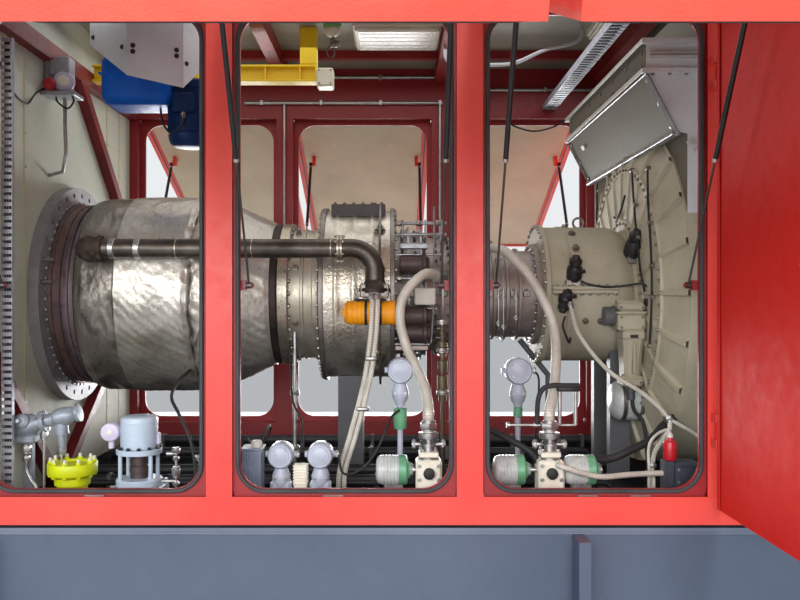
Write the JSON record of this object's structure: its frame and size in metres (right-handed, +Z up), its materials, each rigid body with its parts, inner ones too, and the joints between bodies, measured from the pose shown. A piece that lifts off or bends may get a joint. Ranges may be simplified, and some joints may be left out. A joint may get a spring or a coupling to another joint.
{
  "type": "gas turbine package in a red enclosure with raised access hatches",
  "caption": "Gas turbine, exhaust, intake and auxiliaries on a steel base, in a framed enclosure with top-hung hatches on gas struts and a side-hung door.",
  "frame": {"origin": "on the ground under the middle of the base, below the post between the second and third bays", "axes": "+X along the shaft from exhaust to intake, +Y away from the side with the side-hung door, +Z up"},
  "size_m": [4.6575, 6.6574, 3.34],
  "materials": {
    "enclosure_red": "gloss paint",
    "base_grey": "satin paint",
    "deck_dark": "matt paint",
    "seal_black": "matt",
    "liner_beige": "satin paint",
    "brace_red": "satin paint",
    "exhaust_steel": "heat tinted",
    "flange_steel": "cast, machined faces",
    "blanket_foil": "crinkled foil",
    "casing_metal": "cast, machined flanges",
    "combustor_metal": "brushed",
    "cover_grey": "satin paint",
    "pipe_steel": "brushed",
    "cap_orange": "gloss",
    "compressor_grey": "cast",
    "linkage_steel": "brushed",
    "casing_cream": "satin paint",
    "duct_grey": "satin paint",
    "support_grey": "satin paint",
    "beam_yellow": "gloss paint",
    "fan_blue": "gloss paint",
    "duct_zinc": "satin",
    "lamp_cream": "gloss",
    "tray_zinc": "galvanised",
    "pump_blue_grey": "gloss paint",
    "flange_yellow": "gloss paint",
    "manifold_steel": "brushed",
    "instrument_grey": "satin paint",
    "valve_cream": "satin paint",
    "hose_braid": "braided",
    "rod_steel": "polished",
    "strut_black": "satin paint"
  },
  "bodies": {
    "root": {"base_frame": "base_grey", "base_flanges": "base_grey", "deck_plate": "deck_dark", "near_posts": "enclosure_red", "far_posts": "enclosure_red", "sills": "enclosure_red", "headers": "enclosure_red", "opening_lips": "seal_black", "roof_panel": "enclosure_red", "roof_beams": "brace_red", "exhaust_end_wall": "liner_beige", "end_wall_braces": "brace_red", "intake_end_wall": "liner_beige", "far_end_panel": "liner_beige", "exhaust_outlet": "flange_steel", "exhaust_flange": "flange_steel", "exhaust_diffuser": "exhaust_steel", "insulation_blanket": "blanket_foil", "turbine_casing": "casing_metal", "combustor_casing": "combustor_metal", "combustor_cover": "cover_grey", "bleed_pipe": "pipe_steel", "starter_cap": "cap_orange", "compressor_casing": "compressor_grey", "vane_linkage": "linkage_steel", "intake_casing": "casing_cream", "accessory_drive": "casing_cream", "intake_plenum": "casing_cream", "intake_duct": "duct_grey", "engine_supports": "support_grey", "lifting_beam": "beam_yellow", "vent_fan": "fan_blue", "vent_duct": "duct_zinc", "roof_lamps": "lamp_cream", "cable_trays": "tray_zinc", "lube_pump": "pump_blue_grey", "drain_flange": "flange_yellow", "valve_manifold": "manifold_steel", "transmitters": "instrument_grey", "fuel_valves": "valve_cream", "hoses": "hose_braid"},
    "hatch_near_1": {"hatch_near_1": "enclosure_red"},
    "strut_rods_near_1": {"strut_rods_near_1": "rod_steel"},
    "strut_tubes_near_1": {"strut_tubes_near_1": "strut_black"},
    "hatch_near_2": {"hatch_near_2": "enclosure_red"},
    "strut_rods_near_2": {"strut_rods_near_2": "rod_steel"},
    "strut_tubes_near_2": {"strut_tubes_near_2": "strut_black"},
    "hatch_near_3": {"hatch_near_3": "enclosure_red"},
    "strut_rods_near_3": {"strut_rods_near_3": "rod_steel"},
    "strut_tubes_near_3": {"strut_tubes_near_3": "strut_black"},
    "hatch_far_1": {"hatch_far_1": "enclosure_red"},
    "strut_rods_far_1": {"strut_rods_far_1": "rod_steel"},
    "strut_tubes_far_1": {"strut_tubes_far_1": "strut_black"},
    "hatch_far_2": {"hatch_far_2": "enclosure_red"},
    "strut_rods_far_2": {"strut_rods_far_2": "rod_steel"},
    "strut_tubes_far_2": {"strut_tubes_far_2": "strut_black"},
    "hatch_far_3": {"hatch_far_3": "enclosure_red"},
    "strut_rods_far_3": {"strut_rods_far_3": "rod_steel"},
    "strut_tubes_far_3": {"strut_tubes_far_3": "strut_black"},
    "side_door": {"side_door": "enclosure_red"}
  },
  "joints": [
    {"name": "hatch_near_1_hinge", "type": "hinge", "parent": "root", "child": "hatch_near_1", "pos_m": [-1.65, -1.235, 2.97], "axis": [1, 0, 0], "range_deg": [0, 68.4]},
    {"name": "strut_rods_near_1_pivot", "type": "hinge", "parent": "root", "child": "strut_rods_near_1", "pos_m": [-1.65, -1.14, 1.67], "axis": [-1, 0, 0], "range_deg": [0, 30.16]},
    {"name": "strut_tubes_near_1_slide", "type": "slide", "parent": "strut_rods_near_1", "child": "strut_tubes_near_1", "axis": [0, 0.5266, -0.8501], "range_m": [0, 0.48737]},
    {"name": "hatch_near_2_hinge", "type": "hinge", "parent": "root", "child": "hatch_near_2", "pos_m": [-0.55, -1.235, 2.97], "axis": [1, 0, 0], "range_deg": [0, 68.4]},
    {"name": "strut_rods_near_2_pivot", "type": "hinge", "parent": "root", "child": "strut_rods_near_2", "pos_m": [-0.55, -1.14, 1.67], "axis": [-1, 0, 0], "range_deg": [0, 30.16]},
    {"name": "strut_tubes_near_2_slide", "type": "slide", "parent": "strut_rods_near_2", "child": "strut_tubes_near_2", "axis": [0, 0.5266, -0.8501], "range_m": [0, 0.48737]},
    {"name": "hatch_near_3_hinge", "type": "hinge", "parent": "root", "child": "hatch_near_3", "pos_m": [0.55, -1.235, 2.97], "axis": [1, 0, 0], "range_deg": [0, 68.4]},
    {"name": "strut_rods_near_3_pivot", "type": "hinge", "parent": "root", "child": "strut_rods_near_3", "pos_m": [0.55, -1.14, 1.67], "axis": [-1, 0, 0], "range_deg": [0, 30.16]},
    {"name": "strut_tubes_near_3_slide", "type": "slide", "parent": "strut_rods_near_3", "child": "strut_tubes_near_3", "axis": [0, 0.5266, -0.8501], "range_m": [0, 0.48737]},
    {"name": "hatch_far_1_hinge", "type": "hinge", "parent": "root", "child": "hatch_far_1", "pos_m": [-1.65, 1.235, 2.97], "axis": [-1, 0, 0], "range_deg": [0, 68.4]},
    {"name": "strut_rods_far_1_pivot", "type": "hinge", "parent": "root", "child": "strut_rods_far_1", "pos_m": [-1.65, 1.14, 1.67], "axis": [1, 0, 0], "range_deg": [0, 30.16]},
    {"name": "strut_tubes_far_1_slide", "type": "slide", "parent": "strut_rods_far_1", "child": "strut_tubes_far_1", "axis": [0, -0.5266, -0.8501], "range_m": [0, 0.48737]},
    {"name": "hatch_far_2_hinge", "type": "hinge", "parent": "root", "child": "hatch_far_2", "pos_m": [-0.55, 1.235, 2.97], "axis": [-1, 0, 0], "range_deg": [0, 68.4]},
    {"name": "strut_rods_far_2_pivot", "type": "hinge", "parent": "root", "child": "strut_rods_far_2", "pos_m": [-0.55, 1.14, 1.67], "axis": [1, 0, 0], "range_deg": [0, 30.16]},
    {"name": "strut_tubes_far_2_slide", "type": "slide", "parent": "strut_rods_far_2", "child": "strut_tubes_far_2", "axis": [0, -0.5266, -0.8501], "range_m": [0, 0.48737]},
    {"name": "hatch_far_3_hinge", "type": "hinge", "parent": "root", "child": "hatch_far_3", "pos_m": [0.55, 1.235, 2.97], "axis": [-1, 0, 0], "range_deg": [0, 68.4]},
    {"name": "strut_rods_far_3_pivot", "type": "hinge", "parent": "root", "child": "strut_rods_far_3", "pos_m": [0.55, 1.14, 1.67], "axis": [1, 0, 0], "range_deg": [0, 30.16]},
    {"name": "strut_tubes_far_3_slide", "type": "slide", "parent": "strut_rods_far_3", "child": "strut_tubes_far_3", "axis": [0, -0.5266, -0.8501], "range_m": [0, 0.48737]},
    {"name": "side_door_hinge", "type": "hinge", "parent": "root", "child": "side_door", "pos_m": [1.065, -1.257, 1.8], "axis": [0, 0, 1], "range_deg": [0, 90]}
  ],
  "couplings": [
    {"joint": "strut_rods_near_1_pivot", "follows": "hatch_near_1_hinge", "ratio": 0.44063},
    {"joint": "strut_tubes_near_1_slide", "follows": "hatch_near_1_hinge", "m_per_rad": 0.408},
    {"joint": "strut_rods_near_2_pivot", "follows": "hatch_near_2_hinge", "ratio": 0.44063},
    {"joint": "strut_tubes_near_2_slide", "follows": "hatch_near_2_hinge", "m_per_rad": 0.408},
    {"joint": "strut_rods_near_3_pivot", "follows": "hatch_near_3_hinge", "ratio": 0.44063},
    {"joint": "strut_tubes_near_3_slide", "follows": "hatch_near_3_hinge", "m_per_rad": 0.408},
    {"joint": "strut_rods_far_1_pivot", "follows": "hatch_far_1_hinge", "ratio": 0.44063},
    {"joint": "strut_tubes_far_1_slide", "follows": "hatch_far_1_hinge", "m_per_rad": 0.408},
    {"joint": "strut_rods_far_2_pivot", "follows": "hatch_far_2_hinge", "ratio": 0.44063},
    {"joint": "strut_tubes_far_2_slide", "follows": "hatch_far_2_hinge", "m_per_rad": 0.408},
    {"joint": "strut_rods_far_3_pivot", "follows": "hatch_far_3_hinge", "ratio": 0.44063},
    {"joint": "strut_tubes_far_3_slide", "follows": "hatch_far_3_hinge", "m_per_rad": 0.408}
  ]
}
